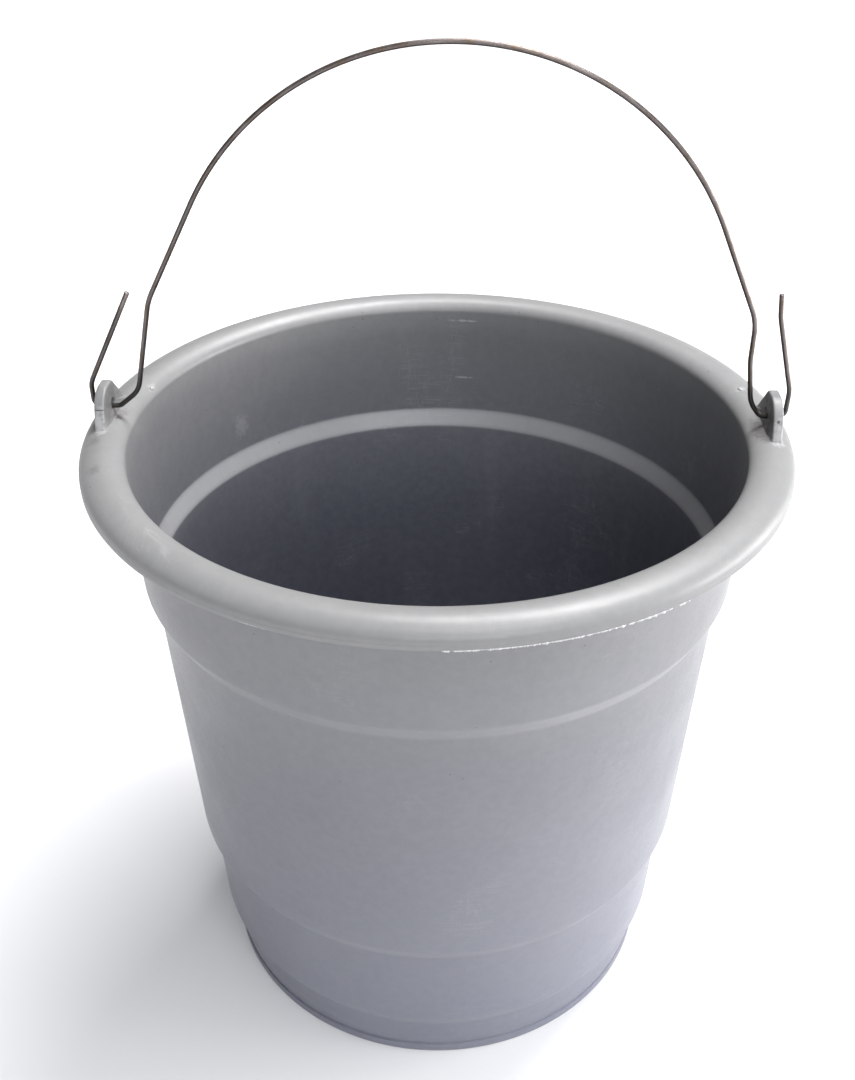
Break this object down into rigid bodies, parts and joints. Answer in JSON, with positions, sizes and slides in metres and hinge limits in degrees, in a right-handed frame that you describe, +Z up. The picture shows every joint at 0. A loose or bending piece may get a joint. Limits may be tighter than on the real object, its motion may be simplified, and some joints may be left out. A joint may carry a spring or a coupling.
{
  "type": "mortar bucket",
  "caption": "Tapered builder's bucket for mortar: a moulded plastic tub with nesting steps, a rolled rim and upright ears, and a swinging bent-wire bail.",
  "frame": {"origin": "on the ground, under the tub's axis, at the centre of the foot ring's lower face", "axes": "+Z up along the tub's axis; +X along the bail's hinge, towards the right ear as seen from the front; +Y towards the back, and the ears' steep edges face -Y"},
  "size_m": [0.3, 0.3, 0.4391],
  "materials": {
    "grey_plastic": "semi-matt moulded plastic, lightly scuffed",
    "galvanised_wire": "drawn and galvanised, dulled"
  },
  "bodies": {
    "tub": {"foot_ring": "grey_plastic", "bucket_floor": "grey_plastic", "bucket_wall": "grey_plastic", "rolled_rim": "grey_plastic", "bail_ear_left": "grey_plastic", "bail_ear_right": "grey_plastic"},
    "bail": {"wire_bail": "galvanised_wire"}
  },
  "joints": [
    {"name": "bail_swing", "type": "hinge", "parent": "tub", "child": "bail", "pos_m": [0, 0, 0.2897], "axis": [1, 0, 0], "range_deg": [-91, 91]}
  ]
}
